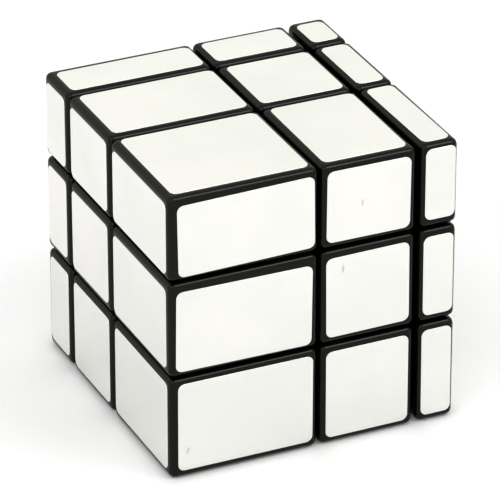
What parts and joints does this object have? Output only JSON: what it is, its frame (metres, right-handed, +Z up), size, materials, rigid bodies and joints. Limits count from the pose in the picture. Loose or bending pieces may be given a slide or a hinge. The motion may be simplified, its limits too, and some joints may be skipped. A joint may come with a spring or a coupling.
{
  "type": "twisty puzzle cube",
  "caption": "Cube-shaped twisty puzzle with layers of unequal thickness; sprung centre blocks on a hidden spider hold edges and corners, and face layers turn.",
  "frame": {"origin": "middle of the underside, on the surface that the cube stands on", "axes": "+Z up; -Y is the front face, the large face on the right of the picture's view; -X is the left face; +Y back; +X right, the thinnest layer"},
  "size_m": [0.057, 0.057, 0.057],
  "materials": {
    "black_plastic": "moulded, glossy",
    "charcoal_plastic": "moulded, satin",
    "zinc_steel": "zinc plated",
    "spring_steel": "drawn wire, bright",
    "silver_foil": "silver foil sticker, satin mirror"
  },
  "bodies": {
    "middle_layer": {"core_spider": "charcoal_plastic", "screw_left": "zinc_steel", "washer_left": "zinc_steel", "spring_left": "spring_steel", "screw_right": "zinc_steel", "washer_right": "zinc_steel", "spring_right": "spring_steel", "screw_front": "zinc_steel", "washer_front": "zinc_steel", "spring_front": "spring_steel", "screw_back": "zinc_steel", "washer_back": "zinc_steel", "spring_back": "spring_steel", "screw_bottom": "zinc_steel", "washer_bottom": "zinc_steel", "spring_bottom": "spring_steel", "screw_top": "zinc_steel", "washer_top": "zinc_steel", "spring_top": "spring_steel", "edge_left_front": "black_plastic", "edge_left_back": "black_plastic", "edge_right_front": "black_plastic", "edge_right_back": "black_plastic"},
    "top_layer": {"corner_left_front_top": "black_plastic", "edge_left_top": "black_plastic", "corner_left_back_top": "black_plastic", "edge_front_top": "black_plastic", "edge_back_top": "black_plastic", "corner_right_front_top": "black_plastic", "edge_right_top": "black_plastic", "corner_right_back_top": "black_plastic"},
    "bottom_layer": {"corner_left_front_bottom": "black_plastic", "edge_left_bottom": "black_plastic", "corner_left_back_bottom": "black_plastic", "edge_front_bottom": "black_plastic", "edge_back_bottom": "black_plastic", "corner_right_front_bottom": "black_plastic", "edge_right_bottom": "black_plastic", "corner_right_back_bottom": "black_plastic"},
    "left_centre": {"centre_left": "black_plastic", "centre_cap_left": "black_plastic"},
    "right_centre": {"centre_right": "black_plastic", "centre_cap_right": "black_plastic"},
    "front_centre": {"centre_front": "black_plastic", "centre_cap_front": "black_plastic"},
    "back_centre": {"centre_back": "black_plastic", "centre_cap_back": "black_plastic"},
    "bottom_centre": {"centre_bottom": "black_plastic", "centre_cap_bottom": "black_plastic"},
    "top_centre": {"centre_top": "black_plastic", "centre_cap_top": "black_plastic"}
  },
  "joints": [
    {"name": "top_layer_turn", "type": "hinge", "parent": "middle_layer", "child": "top_layer", "pos_m": [0.0107, 0.0075, 0.0303], "axis": [0, 0, 1], "continuous": true},
    {"name": "bottom_layer_turn", "type": "hinge", "parent": "middle_layer", "child": "bottom_layer", "pos_m": [0.0107, 0.0075, 0.0303], "axis": [0, 0, 1], "continuous": true},
    {"name": "left_centre_lift", "type": "slide", "parent": "middle_layer", "child": "left_centre", "axis": [-1, 0, 0], "range_m": [0, 0.0005], "stiffness_N_per_m": 800, "springref_m": -0.003, "deforming": ["spring_left"]},
    {"name": "right_centre_lift", "type": "slide", "parent": "middle_layer", "child": "right_centre", "axis": [1, 0, 0], "range_m": [0, 0.0005], "stiffness_N_per_m": 800, "springref_m": -0.003, "deforming": ["spring_right"]},
    {"name": "front_centre_lift", "type": "slide", "parent": "middle_layer", "child": "front_centre", "axis": [0, -1, 0], "range_m": [0, 0.0005], "stiffness_N_per_m": 800, "springref_m": -0.003, "deforming": ["spring_front"]},
    {"name": "back_centre_lift", "type": "slide", "parent": "middle_layer", "child": "back_centre", "axis": [0, 1, 0], "range_m": [0, 0.0005], "stiffness_N_per_m": 800, "springref_m": -0.003, "deforming": ["spring_back"]},
    {"name": "bottom_centre_lift", "type": "slide", "parent": "bottom_layer", "child": "bottom_centre", "axis": [0, 0, -1], "range_m": [0, 0.0005], "stiffness_N_per_m": 800, "springref_m": -0.003, "deforming": ["spring_bottom"]},
    {"name": "top_centre_lift", "type": "slide", "parent": "top_layer", "child": "top_centre", "axis": [0, 0, 1], "range_m": [0, 0.0005], "stiffness_N_per_m": 800, "springref_m": -0.003, "deforming": ["spring_top"]}
  ]
}
